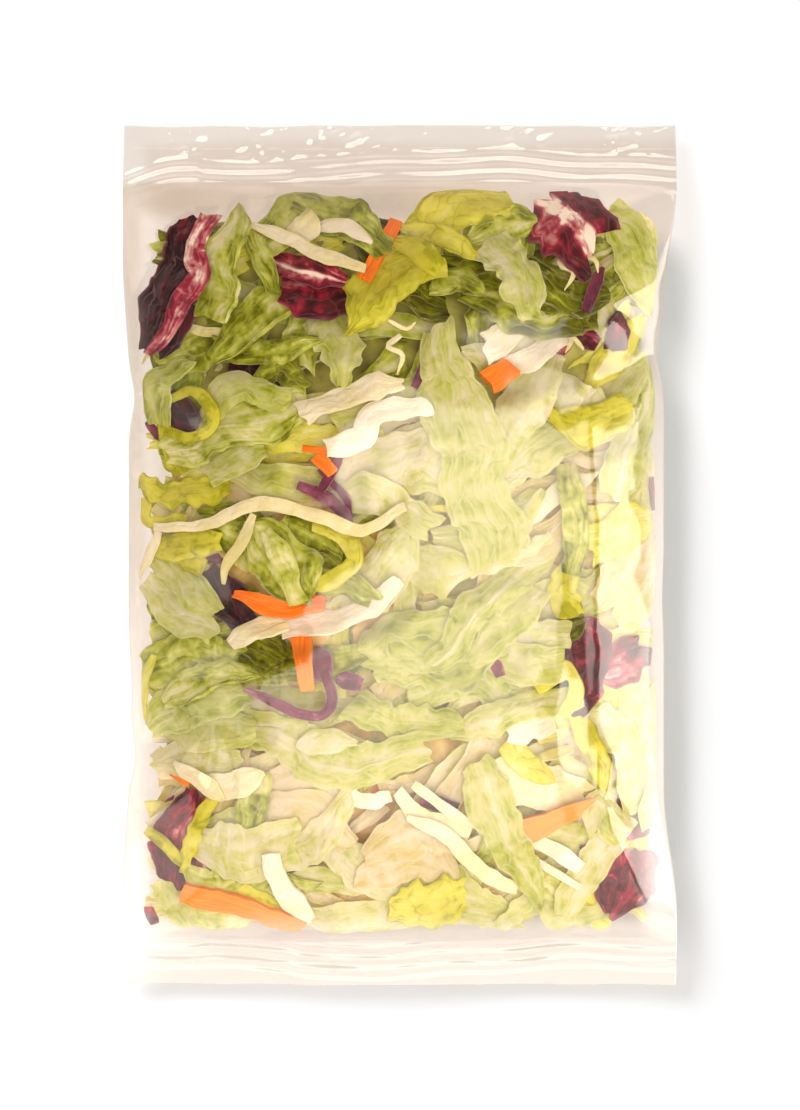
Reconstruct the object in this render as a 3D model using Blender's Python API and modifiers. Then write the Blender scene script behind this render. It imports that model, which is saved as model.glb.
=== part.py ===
"""A clear pillow bag packed with cut salad leaves, lying on its back, as one closed solid.

The film is a flat tube, crimped shut across both ends and swollen between them by the leaves. The solid
runs out to the film everywhere, so it stands for the film and for all that it holds.

Frame: X across the bag, +Y towards the top seal, Z up from the floor. The origin is on the floor, under
the middle of the bag.
"""

import math

import bmesh
import bpy
from mathutils import Vector, noise

# Driving dimensions, in metres.
BAG_LENGTH = 0.281  # from the edge of one end seal to the edge of the other
BAG_WIDTH = 0.180  # of the tube laid flat, which the end seals keep
FILM_GAP = 0.0009  # between the outer faces of two sheets that lie on each other

# How far the fill lifts the film.
FOLD_HEIGHT = 0.013  # of the side folds above the floor
CREST_RISE = 0.029  # from the side folds up to the crest
BELLY_DROP = 0.017  # from the side folds down to the belly, where no floor stops it
BELLY_BEND = 0.0015  # of height, over which the belly bends onto the floor
# The sections across and along the bag: more power makes them fuller, and less slope steepens their ends.
ACROSS_POWER, ACROSS_SLOPE = 2.6, 0.88
ALONG_POWER, ALONG_SLOPE = 3.4, 0.80

# The end seals.
TOP_SEAL = 0.0195  # length of the crimped end with the lip
BOTTOM_SEAL = 0.0150
TOP_LIP = 0.0075  # smooth free film beyond the ribs
BOTTOM_LIP = 0.0020
RIB_PITCH = 0.0040
RIB_DEPTH = 0.0005  # from the middle plane of the seal to the top of a rib
RIB_BOW = 0.0016  # how far the ribs wander along the bag as they cross it
SEAL_HEIGHT = 0.0115  # of a seal's inner edge above the floor
SEAL_DROOP = 0.0050  # from its inner edge to its outer edge
SEAL_WAVE = 0.0012

# The side folds pull in where the bag is full, more on one side than on the other.
SIDE_PULL = {-1: 0.0020, 1: 0.0044}
PULL_START = {-1: (-0.110, 0.098), 1: (-0.118, 0.122)}  # along the bag, at its bottom and top ends
PULL_BLEND = 0.042
# Puckers in the side folds: side, place along the bag, depth and half length.
PUCKERS = (
    (-1, 0.051, 0.0018, 0.008),
    (-1, -0.045, 0.0009, 0.015),
    (-1, -0.065, 0.0018, 0.009),
    (1, 0.066, 0.0023, 0.009),
    (1, -0.014, 0.0005, 0.010),
)

# Lumps where bunches of leaves push the film up.
LUMP_SIZE = 0.034
LUMP_HEIGHT = 0.0021
# Folds in the top sheet: from X and Y, to X and Y, half width, and depth, which is below zero for a ridge.
FOLDS = (
    (-0.088, 0.052, -0.050, 0.028, 0.0050, 0.0022),
    (-0.086, -0.063, -0.048, -0.046, 0.0050, 0.0020),
    (0.086, 0.067, 0.052, 0.046, 0.0050, 0.0024),
    (0.060, 0.050, 0.066, -0.082, 0.0060, -0.0013),
    (0.066, -0.082, 0.090, -0.128, 0.0055, -0.0017),
    (-0.066, -0.050, -0.020, -0.030, 0.0050, -0.0012),
    (-0.090, 0.112, -0.058, 0.094, 0.0050, 0.0016),
    (0.090, 0.112, 0.062, 0.096, 0.0050, 0.0014),
    (-0.090, -0.120, -0.064, -0.098, 0.0050, 0.0014),
)

# The grid of the sheets: columns across, and rows along the body and to each quarter of a rib.
COLUMNS = 32
BODY_ROWS = 32
ROWS_TO_A_RIB = 4

HALF_LENGTH = BAG_LENGTH / 2
HALF_WIDTH = BAG_WIDTH / 2
TOP_ROWS = round(TOP_SEAL / RIB_PITCH * ROWS_TO_A_RIB)
BOTTOM_ROWS = round(BOTTOM_SEAL / RIB_PITCH * ROWS_TO_A_RIB)
ROWS = TOP_ROWS + BODY_ROWS + BOTTOM_ROWS


def smooth_step(share):
    """0 below 0 and 1 above 1, with a smooth rise between."""
    share = min(max(share, 0.0), 1.0)
    return share * share * (3 - 2 * share)


def bell(distance, spread):
    return math.exp(-((distance / spread) ** 2))


def row_place(row):
    """Y of a row: even rows in the seals, and rows in the body that crowd towards the seals."""
    if row <= BOTTOM_ROWS:
        return -HALF_LENGTH + BOTTOM_SEAL * row / BOTTOM_ROWS
    if row >= BOTTOM_ROWS + BODY_ROWS:
        return HALF_LENGTH - TOP_SEAL * (ROWS - row) / TOP_ROWS
    even = 2 * (row - BOTTOM_ROWS) / BODY_ROWS - 1
    eased = 0.6 * even + 0.4 * math.sin(even * math.pi / 2)
    low, high = -HALF_LENGTH + BOTTOM_SEAL, HALF_LENGTH - TOP_SEAL
    return (low + high) / 2 + eased * (high - low) / 2


def half_width(side, y):
    """Distance from the middle of the bag to the side fold, with its pull and its puckers."""
    low, high = PULL_START[side]
    pull = SIDE_PULL[side] * smooth_step((y - low) / PULL_BLEND) * smooth_step((high - y) / PULL_BLEND)
    pull += sum(depth * bell(y - at, spread) for on, at, depth, spread in PUCKERS if on == side)
    return HALF_WIDTH - pull


def opening(across, y):
    """How far the sheets have parted: 0 at the folds and in the seals, 1 at the middle of the body."""
    low, high = -HALF_LENGTH + BOTTOM_SEAL, HALF_LENGTH - TOP_SEAL
    along = min(abs((2 * y - low - high) / (high - low)), 1.0)
    section = (1 - abs(across) ** ACROSS_POWER) ** ACROSS_SLOPE
    return section * (1 - along**ALONG_POWER) ** ALONG_SLOPE


def middle_height(x, y):
    """Height of the surface between the two sheets: level along the side folds, and drooping in the seals."""
    seal = BOTTOM_SEAL if y < 0 else TOP_SEAL
    past = (abs(y) - (HALF_LENGTH - seal)) / seal
    wave = SEAL_WAVE * math.sin(x * 2 * math.pi / 0.11 + (0.6 if y > 0 else 2.2))
    height = SEAL_HEIGHT + wave * smooth_step(1 + past) - SEAL_DROOP * max(past, 0.0)
    return height + (FOLD_HEIGHT - SEAL_HEIGHT) * smooth_step(-past * seal / 0.040)


def ribs(x, y):
    """The crimp of an end seal: parallel ribs with a slow bow, between its smooth lip and its inner edge."""
    seal, lip = (BOTTOM_SEAL, BOTTOM_LIP) if y < 0 else (TOP_SEAL, TOP_LIP)
    bow = RIB_BOW * math.sin(x * 2 * math.pi / 0.150 + (0.4 if y > 0 else 1.9))
    from_lip = HALF_LENGTH - abs(y) - lip + bow
    strength = smooth_step(from_lip / RIB_PITCH) * smooth_step((seal - lip - from_lip) / RIB_PITCH + 1)
    return RIB_DEPTH * strength * math.sin(from_lip * 2 * math.pi / RIB_PITCH)


def fold_depth(x, y):
    """How far the folds in the top sheet lower it here. Each fades to nothing at its inner end."""
    depth = 0.0
    for from_x, from_y, to_x, to_y, spread, deep in FOLDS:
        start, run = Vector((from_x, from_y)), Vector((to_x - from_x, to_y - from_y))
        along = min(max((Vector((x, y)) - start).dot(run) / run.length_squared, 0.0), 1.0)
        depth += deep * bell((Vector((x, y)) - start - along * run).length, spread) * (1 - 0.6 * along)
    return depth


def rest_on_floor(height):
    """The height, kept above the floor by a short smooth bend."""
    if abs(height) >= BELLY_BEND:
        return max(height, 0.0)
    return (height + BELLY_BEND) ** 2 / (4 * BELLY_BEND)


def film_point(across, y, on_top):
    """The point of the top or bottom sheet at a share across the bag, -1 to 1, and at a place along it."""
    x = across * half_width(1 if across > 0 else -1, y)
    parted = opening(across, y)
    middle = middle_height(x, y) + ribs(x, y)
    belly = rest_on_floor(middle - FILM_GAP / 2 - BELLY_DROP * parted)
    if not on_top:
        return Vector((x, y, belly))
    lump = LUMP_HEIGHT * noise.noise(Vector((x, y, 0.011)) / LUMP_SIZE)
    shape = lump - fold_depth(x, y)
    crest = middle + FILM_GAP / 2 + CREST_RISE * parted + shape * min(2.5 * parted, 1.0)
    return Vector((x, y, max(crest, belly + FILM_GAP)))


def flat_tube():
    """The empty tube as a square of two sheets joined all round, evenly divided into columns and rows."""
    bpy.ops.mesh.primitive_grid_add(x_subdivisions=COLUMNS, y_subdivisions=ROWS, size=2)
    tube = bpy.context.object
    gap = tube.modifiers.new("two_sheets", "SOLIDIFY")
    gap.thickness = 1.0
    gap.offset = 0.0
    bpy.ops.object.modifier_apply(modifier=gap.name)
    return tube


def fill_tube(tube):
    """Moves each point of the flat tube to its place on the filled bag."""
    shape = bmesh.new()
    shape.from_mesh(tube.data)
    for point in shape.verts:
        even, on_top = point.co.x, point.co.z > 0
        row = round((point.co.y + 1) / 2 * ROWS)
        across = 0.55 * even + 0.45 * math.sin(even * math.pi / 2)
        point.co = film_point(across, row_place(row), on_top)
    bmesh.ops.recalc_face_normals(shape, faces=shape.faces)
    shape.to_mesh(tube.data)
    shape.free()


def plain_material(name, colour, roughness, alpha=1.0):
    material = bpy.data.materials.new(name)
    material.use_nodes = True
    shader = material.node_tree.nodes["Principled BSDF"]
    shader.inputs["Base Color"].default_value = (*colour, 1.0)
    shader.inputs["Roughness"].default_value = roughness
    shader.inputs["Metallic"].default_value = 0.0
    shader.inputs["Alpha"].default_value = alpha
    material.diffuse_color = (*colour, 1.0)
    return material


def colour_by_fill(bag):
    """Salad shows through the film where the sheets are parted, and bare film is left round it."""
    bag.data.materials.append(plain_material("clear_film", (0.83, 0.76, 0.70), 0.15))
    bag.data.materials.append(plain_material("cut_salad", (0.66, 0.62, 0.28), 0.45))
    least_parted = 0.10
    for face in bag.data.polygons:
        x, y = face.center.x, face.center.y
        across = x / half_width(1 if x > 0 else -1, y)
        face.material_index = int(opening(min(abs(across), 1.0), y) > least_parted)


def main():
    for old in list(bpy.data.objects):
        bpy.data.objects.remove(old)
    collection = bpy.data.collections.new("bag_of_salad_leaves")
    bpy.context.scene.collection.children.link(collection)

    bag = flat_tube()
    bag.name = bag.data.name = "salad_bag"
    for holder in list(bag.users_collection):
        holder.objects.unlink(bag)
    collection.objects.link(bag)
    fill_tube(bag)
    colour_by_fill(bag)
    bag.data.shade_smooth()


main()
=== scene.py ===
"""A clear pillow bag of cut mixed salad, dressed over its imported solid.

The film is one closed skin. Under it the leaves lie in layers, pressed against the film on both sides,
over a darker core. All the shapes come from the bag's own formula and from sizes in millimetres.
"""

import math
import random

import bpy
import numpy as np
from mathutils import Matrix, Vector, noise


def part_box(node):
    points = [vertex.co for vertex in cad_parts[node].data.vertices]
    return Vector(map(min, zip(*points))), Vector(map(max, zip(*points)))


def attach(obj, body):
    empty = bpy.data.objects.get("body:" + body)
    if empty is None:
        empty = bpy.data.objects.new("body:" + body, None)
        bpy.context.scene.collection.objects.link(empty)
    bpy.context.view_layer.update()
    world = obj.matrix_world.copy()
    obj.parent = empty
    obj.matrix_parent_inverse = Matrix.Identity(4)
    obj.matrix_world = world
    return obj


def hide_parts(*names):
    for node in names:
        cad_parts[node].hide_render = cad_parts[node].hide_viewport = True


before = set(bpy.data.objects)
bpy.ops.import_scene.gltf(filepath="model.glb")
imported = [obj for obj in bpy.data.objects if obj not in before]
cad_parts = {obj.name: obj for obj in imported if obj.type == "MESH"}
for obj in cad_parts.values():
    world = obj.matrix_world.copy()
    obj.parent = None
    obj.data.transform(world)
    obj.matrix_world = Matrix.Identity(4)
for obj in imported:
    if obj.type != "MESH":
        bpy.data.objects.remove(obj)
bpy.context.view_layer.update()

bpy.ops.object.select_all(action="DESELECT")

MM = 0.001
LOW, HIGH = (Vector(corner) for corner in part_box("salad_bag"))
LENGTH, WIDTH = (HIGH.y - LOW.y) / MM, (HIGH.x - LOW.x) / MM
HALF_LENGTH, HALF_WIDTH = LENGTH / 2, WIDTH / 2

# ---------------------------------------------------------------------------------------------------------
# The bag's shape, in millimetres. The film, the leaves and the core all follow it.

FOLD_HEIGHT, CREST_RISE, BELLY_DROP, BELLY_BEND = 13.0, 29.0, 17.0, 1.5
ACROSS_POWER, ACROSS_SLOPE = 2.6, 0.88
ALONG_POWER, ALONG_SLOPE = 3.4, 0.80
TOP_SEAL, BOTTOM_SEAL = 19.5, 15.0
TOP_LIP, BOTTOM_LIP = 7.5, 2.0
RIB_PITCH, RIB_DEPTH, RIB_BOW = 4.0, 0.5, 1.6
SEAL_HEIGHT, SEAL_DROOP, SEAL_WAVE = 11.5, 5.0, 1.2
SHEET_GAP = 0.25  # between the two sheets where nothing parts them
SIDE_PULL = {-1: 2.0, 1: 4.4}
PULL_START = {-1: (-110.0, 98.0), 1: (-118.0, 122.0)}
PULL_BLEND = 42.0
PUCKERS = ((-1, 51, 1.8, 8), (-1, -45, 0.9, 15), (-1, -65, 1.8, 9), (1, 66, 2.3, 9), (1, -14, 0.5, 10))
LUMP_SIZE, LUMP_HEIGHT = 34.0, 2.1

# Soft folds that the solid has too: from X and Y, to X and Y, half width, depth.
FOLDS = (
    (-88, 52, -50, 28, 5.0, 2.2),
    (-86, -63, -48, -46, 5.0, 2.0),
    (86, 67, 52, 46, 5.0, 2.4),
    (60, 50, 66, -82, 6.0, -1.3),
    (66, -82, 90, -128, 5.5, -1.7),
    (-66, -50, -20, -30, 5.0, -1.2),
    (-90, 112, -58, 94, 5.0, 1.6),
    (90, 112, 62, 96, 5.0, 1.4),
    (-90, -120, -64, -98, 5.0, 1.4),
)
# Sharp creases, which only the film has: from X and Y, to X and Y, reach to each side, depth.
CREASES = (
    (-29, -13, -50, -46, 11.0, -1.0),
    (2, 8, -29, -13, 10.0, -0.8),
    (-34, 15, 4, 13, 9.0, 0.6),
    (52, 42, 50, -78, 4.0, -0.3),
    (58, 44, 60, -70, 5.0, 0.5),
    (56, -14, 84, 0, 6.0, -0.8),
    (84, 0, 70, 22, 5.0, -0.6),
    (84, -22, 62, -26, 5.0, 0.7),
    (88, -138, 72, -92, 4.0, -0.8),
    (-86, -64, -80, -110, 3.0, -0.5),
    (-88, 50, -70, 60, 4.0, -0.5),
    (-80, 50, -66, 26, 4.0, 0.5),
    (3, 54, 34, 60, 9.0, 0.4),
    (3, 54, -30, 34, 9.0, -0.5),
    (30, -92, 60, -86, 6.0, -0.4),
    (-20, -100, 10, -84, 6.0, 0.4),
)
# Puckers, where creases meet in a point: X, Y, reach, rise, and the rays as bearing and height in turn.
PUCKERED = (
    (67, 80, 9.0, 0.8, ((0, -0.6), (28, 1.0), (50, -0.4), (140, 0.2), (215, -0.6), (300, 0.9), (330, -0.8))),
    (-59, -53, 11.0, 0.9, ((20, 0.2), (37, 0.9), (70, -0.7), (170, 0.6), (195, -0.4), (222, 0.8), (262, -0.9),
                           (290, 0.6), (330, -0.5))),
    (65, -79, 9.0, 0.8, ((40, -0.5), (75, 1.0), (95, -0.6), (170, 0.4), (235, -0.7), (315, 0.9), (350, -0.5))),
    (-66, 27, 10.0, 0.6, ((20, 0.8), (80, -0.6), (150, 0.5), (215, -0.5), (290, 0.7), (330, -0.6))),
    (76, 8, 8.0, 0.4, ((30, 0.7), (100, -0.6), (165, 0.6), (240, -0.7), (300, 0.6))),
    (79, -28, 8.0, 0.4, ((60, 0.7), (120, -0.6), (190, 0.6), (250, -0.7), (320, 0.6))),
    (74, 52, 8.0, 0.4, ((10, 0.6), (80, -0.6), (150, 0.7), (230, -0.6), (300, 0.5))),
)


def smooth_step(share):
    """0 below 0 and 1 above 1, with a smooth rise between."""
    share = np.clip(share, 0.0, 1.0)
    return share * share * (3 - 2 * share)


def bell(distance, spread):
    return np.exp(-((distance / spread) ** 2))


def half_width(side, y):
    """Distance from the middle of the bag to the side fold, with its pull and its puckers."""
    low, high = PULL_START[side]
    pull = SIDE_PULL[side] * smooth_step((y - low) / PULL_BLEND) * smooth_step((high - y) / PULL_BLEND)
    return HALF_WIDTH - pull - sum(depth * bell(y - at, spread) for on, at, depth, spread in PUCKERS if on == side)


def reach_at(x, y):
    """The half width on the side that x is on."""
    return np.where(x > 0, half_width(1, y), half_width(-1, y))


def opening(x, y):
    """How far the sheets have parted: 0 at the folds and in the seals, 1 at the middle of the body."""
    low, high = -HALF_LENGTH + BOTTOM_SEAL, HALF_LENGTH - TOP_SEAL
    along = np.clip(abs((2 * y - low - high) / (high - low)), 0.0, 1.0)
    across = np.clip(abs(x) / reach_at(x, y), 0.0, 1.0)
    return (1 - across**ACROSS_POWER) ** ACROSS_SLOPE * (1 - along**ALONG_POWER) ** ALONG_SLOPE


def middle_height(x, y):
    """Height of the surface between the two sheets: level along the side folds, drooping in the seals."""
    seal = np.where(y < 0, BOTTOM_SEAL, TOP_SEAL)
    past = (abs(y) - (HALF_LENGTH - seal)) / seal
    wave = SEAL_WAVE * np.sin(x * 2 * math.pi / 110 + np.where(y > 0, 0.6, 2.2))
    height = SEAL_HEIGHT + wave * smooth_step(1 + past) - SEAL_DROOP * np.maximum(past, 0.0)
    return height + (FOLD_HEIGHT - SEAL_HEIGHT) * smooth_step(-past * seal / 40)


def along_line(x, y, line):
    """Distance from the line to each point, and how far along the line its nearest place is, 0 to 1."""
    from_x, from_y, to_x, to_y = line
    run_x, run_y = to_x - from_x, to_y - from_y
    share = np.clip(((x - from_x) * run_x + (y - from_y) * run_y) / (run_x**2 + run_y**2), 0.0, 1.0)
    return np.hypot(x - from_x - share * run_x, y - from_y - share * run_y), share


def lumps(x, y):
    """Slow swells of the film over bunches of leaves."""
    places = zip(np.ravel(x) / LUMP_SIZE, np.ravel(y) / LUMP_SIZE)
    swell = [noise.noise(Vector((across, along, 11 / LUMP_SIZE))) for across, along in places]
    return LUMP_HEIGHT * np.reshape(swell, np.shape(x))


def top_relief(x, y):
    """Lumps and folds of the top sheet over the leaves."""
    relief = lumps(x, y)
    for *line, spread, deep in FOLDS:
        distance, share = along_line(x, y, line)
        relief -= deep * bell(distance, spread) * (1 - 0.6 * share)
    return relief


def creases(x, y):
    """Sharp creases of the top sheet, each a kink that fades to both sides and towards its ends."""
    relief = np.zeros(np.shape(x))
    for *line, reach, deep in CREASES:
        distance, share = along_line(x, y, line)
        blunt = np.sqrt(distance**2 + 0.5**2) - 0.5
        relief -= deep * np.exp(-blunt / reach) * (0.35 + 0.65 * np.sin(math.pi * np.clip(share, 0.02, 0.98)) ** 0.5)
    return relief


def puckered(x, y):
    """Flat facets between the creases that meet in each pucker. They stand out most at its reach."""
    relief = np.zeros(np.shape(x))
    for at_x, at_y, reach, rise, rays in PUCKERED:
        far = np.hypot(x - at_x, y - at_y) / reach
        bearing = np.degrees(np.arctan2(y - at_y, x - at_x)) % 360
        relief += rise * np.interp(bearing, *zip(*rays), period=360) * far * np.exp(1 - far)
    return relief


def sheets(x, y):
    """Heights of the bottom sheet and of the top sheet, without the fine wrinkles."""
    parted = opening(x, y)
    middle = middle_height(x, y)
    belly = middle - SHEET_GAP / 2 - BELLY_DROP * parted
    bend = np.clip(belly + BELLY_BEND, 0.0, 2 * BELLY_BEND) ** 2 / (4 * BELLY_BEND)
    belly = np.where(belly > BELLY_BEND, belly, bend)
    crest = middle + SHEET_GAP / 2 + CREST_RISE * parted + top_relief(x, y) * np.minimum(2.5 * parted, 1.0)
    return belly, np.maximum(crest, belly + SHEET_GAP)


# ---------------------------------------------------------------------------------------------------------
# Colours and materials.


def colour(hex_code):
    """An sRGB hex colour as linear red, green, blue and alpha."""
    parts = [int(hex_code[i : i + 2], 16) / 255 for i in (0, 2, 4)]
    return (*(p / 12.92 if p <= 0.04045 else ((p + 0.055) / 1.055) ** 2.4 for p in parts), 1.0)


def new_material(name):
    """An empty node material with its output, ready for nodes."""
    material = bpy.data.materials.new(name)
    material.use_nodes = True
    material.node_tree.nodes.clear()
    return material, material.node_tree


def add(tree, kind, inputs=None, stops=(), **settings):
    """Adds a node, sets its properties, fills or links its inputs by name or number, and sets its ramp."""
    node = tree.nodes.new(kind)
    for name, value in settings.items():
        setattr(node, name, value)
    for key, value in (inputs or {}).items():
        if isinstance(value, bpy.types.NodeSocket):
            tree.links.new(value, node.inputs[key])
        else:
            node.inputs[key].default_value = value
    for number, (place, code) in enumerate(stops):
        elements = node.color_ramp.elements
        element = elements[number] if number < len(elements) else elements.new(place)
        element.position = place
        element.color = colour(code)
    return node


def clear_film():
    """Cast polypropylene film, clear and glossy: nearly all light goes through, and each layer of film
    mirrors what it faces by its two faces together, weakly from the front and strongly at a slant. Where
    it is crimped and stretched it has turned a little milky. Along the top end and down the upper left
    side its tint is darker, as painted shade for the shade that falls there."""
    material, tree = new_material("clear_cast_polypropylene_film")
    facing = add(tree, "ShaderNodeLayerWeight", {"Blend": 0.5}).outputs["Facing"]
    steep = add(tree, "ShaderNodeMath", {0: facing, 1: 4.0}, operation="POWER").outputs[0]
    mirrored = add(tree, "ShaderNodeMath", {0: steep, 1: 0.80, 2: 0.085}, operation="MULTIPLY_ADD", use_clamp=True)
    # Painted shade: a darker tint where the attribute is set, along the top end and the upper left side.
    painted_shade = add(tree, "ShaderNodeAttribute", attribute_name="painted_shade").outputs["Fac"]
    tint = add(tree, "ShaderNodeMix", {0: painted_shade, 6: colour("F9F3EE"), 7: colour("ECE3DA")}, data_type="RGBA")
    through = add(tree, "ShaderNodeBsdfTransparent", {"Color": tint.outputs[2]}).outputs[0]
    gloss = add(tree, "ShaderNodeBsdfPrincipled", {"Base Color": colour("FFF5EC"), "Metallic": 1.0,
                                                    "Roughness": 0.11}).outputs[0]
    mixed = add(tree, "ShaderNodeMixShader", {0: mirrored.outputs[0], 1: through, 2: gloss}).outputs[0]
    milky = add(tree, "ShaderNodeAttribute", attribute_name="milky").outputs["Fac"]
    dull = add(tree, "ShaderNodeBsdfPrincipled", {"Base Color": colour("FFF6EE"), "Roughness": 1.0,
                                                   "Specular IOR Level": 0.0}).outputs[0]
    film = add(tree, "ShaderNodeMixShader", {0: milky, 1: mixed, 2: dull}).outputs[0]
    add(tree, "ShaderNodeOutputMaterial", {"Surface": film})
    return material


def leaf_material(name, stops, vein_code, roughness=0.4, glow=0.6, vein=0.45, blotch=0.6, pitch=3.6, grain=0.4):
    """A cut leaf: its colour runs through stops from the rib to the green part, clouded and speckled, with
    a stretched net of fine veins and a paler cut rim. Light passes through, and the moist skin is glossy."""
    material, tree = new_material(name)
    leaf = add(tree, "ShaderNodeAttribute", attribute_name="leaf")
    marks = add(tree, "ShaderNodeSeparateColor", {0: leaf.outputs["Color"]})
    tone = marks.outputs[2]
    place = add(tree, "ShaderNodeUVMap", uv_map="leaf_mm").outputs[0]
    cloudy = add(tree, "ShaderNodeTexNoise", {"Vector": place, "Scale": 1 / 6.0, "Detail": 2.5,
                                              "Roughness": 0.65}, noise_dimensions="2D").outputs[0]
    bent = add(tree, "ShaderNodeVectorMath", {0: (3.0, 6.0, 0.0), 1: cloudy}, operation="MULTIPLY").outputs[0]
    moved = add(tree, "ShaderNodeVectorMath", {0: place, 1: bent}, operation="ADD").outputs[0]
    drawn = add(tree, "ShaderNodeMapping", {"Vector": moved, "Scale": (1 / 1.3, 1 / 20.0, 1.0)}).outputs[0]
    streaks = add(tree, "ShaderNodeTexNoise", {"Vector": drawn, "Scale": 1.0, "Detail": 1.0},
                  noise_dimensions="2D").outputs[0]
    both = add(tree, "ShaderNodeMath", {0: streaks, 1: grain, 2: cloudy}, operation="MULTIPLY_ADD").outputs[0]
    centred = add(tree, "ShaderNodeMath", {0: both, 1: 0.5 + 0.5 * grain}, operation="SUBTRACT").outputs[0]
    share = add(tree, "ShaderNodeMath", {0: centred, 1: 2.2 * blotch, 2: tone}, operation="MULTIPLY_ADD",
                use_clamp=True).outputs[0]
    skin = add(tree, "ShaderNodeValToRGB", {0: share}, stops=stops).outputs[0]

    stretched = add(tree, "ShaderNodeMapping", {"Vector": moved, "Scale": (1 / pitch, 1 / (2.6 * pitch), 1.0)})
    cells = add(tree, "ShaderNodeTexVoronoi", {"Vector": stretched.outputs[0], "Scale": 1.0},
                feature="DISTANCE_TO_EDGE", voronoi_dimensions="2D").outputs[0]
    veins = add(tree, "ShaderNodeMapRange", {0: cells, 1: 0.0, 2: 0.09, 3: 1.0, 4: 0.0},
                interpolation_type="SMOOTHSTEP").outputs[0]
    come_and_go = add(tree, "ShaderNodeMapRange", {0: cloudy, 1: 0.38, 2: 0.62}).outputs[0]
    broken = add(tree, "ShaderNodeMath", {0: veins, 1: come_and_go}, operation="MULTIPLY").outputs[0]
    shown = add(tree, "ShaderNodeMath", {0: broken, 1: leaf.outputs["Alpha"]}, operation="MULTIPLY").outputs[0]
    rim = add(tree, "ShaderNodeMapRange", {0: marks.outputs[0], 1: 0.88, 2: 0.99, 3: 0.0, 4: 0.35}).outputs[0]
    faint = add(tree, "ShaderNodeMath", {0: shown, 1: vein, 2: rim}, operation="MULTIPLY_ADD",
                use_clamp=True).outputs[0]
    veined = add(tree, "ShaderNodeMix", {0: faint, 6: skin, 7: colour(vein_code)}, data_type="RGBA").outputs[2]

    folds = add(tree, "ShaderNodeMath", {0: streaks, 1: 0.25, 2: cloudy}, operation="MULTIPLY_ADD").outputs[0]
    bump = add(tree, "ShaderNodeBump", {"Height": folds, "Strength": 0.8, "Distance": 1.1 * MM}).outputs[0]
    face = add(tree, "ShaderNodeBsdfPrincipled", {"Base Color": veined, "Roughness": roughness,
                                                   "Normal": bump}).outputs[0]
    behind = add(tree, "ShaderNodeBsdfTranslucent", {"Color": veined, "Normal": bump}).outputs[0]
    mixed = add(tree, "ShaderNodeMixShader", {0: glow, 1: face, 2: behind}).outputs[0]
    add(tree, "ShaderNodeOutputMaterial", {"Surface": mixed})
    return material


def carrot_material():
    """Fresh cut carrot: fine fibres along the stick and a wet cut face."""
    material, tree = new_material("fresh_cut_carrot")
    place = add(tree, "ShaderNodeUVMap", uv_map="leaf_mm").outputs[0]
    leaf = add(tree, "ShaderNodeAttribute", attribute_name="leaf")
    tone = add(tree, "ShaderNodeSeparateColor", {0: leaf.outputs["Color"]}).outputs[2]
    stretched = add(tree, "ShaderNodeMapping", {"Vector": place, "Scale": (1 / 0.7, 1 / 9.0, 1.0)}).outputs[0]
    fibres = add(tree, "ShaderNodeTexNoise", {"Vector": stretched, "Scale": 1.0, "Detail": 3.0},
                 noise_dimensions="2D").outputs[0]
    half = add(tree, "ShaderNodeMath", {0: tone, 1: 0.5}, operation="MULTIPLY").outputs[0]
    share = add(tree, "ShaderNodeMath", {0: fibres, 1: 0.7, 2: half}, operation="MULTIPLY_ADD").outputs[0]
    skin = add(tree, "ShaderNodeValToRGB", {0: share}, stops=CARROT_STOPS).outputs[0]
    bump = add(tree, "ShaderNodeBump", {"Height": fibres, "Strength": 0.5, "Distance": 0.25 * MM}).outputs[0]
    stick = add(tree, "ShaderNodeBsdfPrincipled", {"Base Color": skin, "Roughness": 0.42, "Normal": bump,
                                                    "Subsurface Weight": 0.15, "Subsurface Radius": (1.0, 0.4, 0.1),
                                                    "Subsurface Scale": 1.5 * MM}).outputs[0]
    add(tree, "ShaderNodeOutputMaterial", {"Surface": stick})
    return material


def core_material():
    """The mass of leaves below the top ones: the same colours in deep shade, too dark to read singly."""
    material, tree = new_material("shaded_leaf_mass")
    place = add(tree, "ShaderNodeTexCoord").outputs["Object"]
    patches = add(tree, "ShaderNodeTexNoise", {"Vector": place, "Scale": 1 / (16 * MM), "Detail": 4.0,
                                               "Distortion": 1.0}).outputs[0]
    green = add(tree, "ShaderNodeValToRGB", {0: patches},
                stops=((0.3, "4A4410"), (0.45, "6E6820"), (0.58, "8E8836"), (0.75, "AEA65A"))).outputs[0]
    straw = add(tree, "ShaderNodeValToRGB", {0: patches},
                stops=((0.3, "A8803C"), (0.45, "C4A058"), (0.58, "DABC7C"), (0.75, "E8D49C"))).outputs[0]
    along = add(tree, "ShaderNodeSeparateXYZ", {0: place}).outputs[1]
    upper = add(tree, "ShaderNodeMapRange", {0: along, 1: 10 * MM, 2: 60 * MM}).outputs[0]
    skin = add(tree, "ShaderNodeMix", {0: upper, 6: straw, 7: green}, data_type="RGBA").outputs[2]
    mass = add(tree, "ShaderNodeBsdfPrincipled", {"Base Color": skin, "Roughness": 0.6}).outputs[0]
    add(tree, "ShaderNodeOutputMaterial", {"Surface": mass})
    return material


# ---------------------------------------------------------------------------------------------------------
# The layers of leaves. A map with one cell to each millimetre keeps, for the top and for the bottom of the
# bag, how deep under the film the next piece has to lie.

CELLS_X, CELLS_Y = 190, 290
map_x, map_y = np.meshgrid(np.arange(CELLS_X) - CELLS_X / 2, np.arange(CELLS_Y) - CELLS_Y / 2)
BELLY_MAP, CREST_MAP = sheets(map_x, map_y)
HALF_ROOM = np.maximum((CREST_MAP - BELLY_MAP) / 2 - 0.3, 0.15)
taken = {"top": np.zeros((CELLS_Y, CELLS_X)), "bottom": np.zeros((CELLS_Y, CELLS_X))}
CLEARANCE = 0.35  # between the film and the first leaf
KINDS = {}
dice = random.Random(20)


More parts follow.
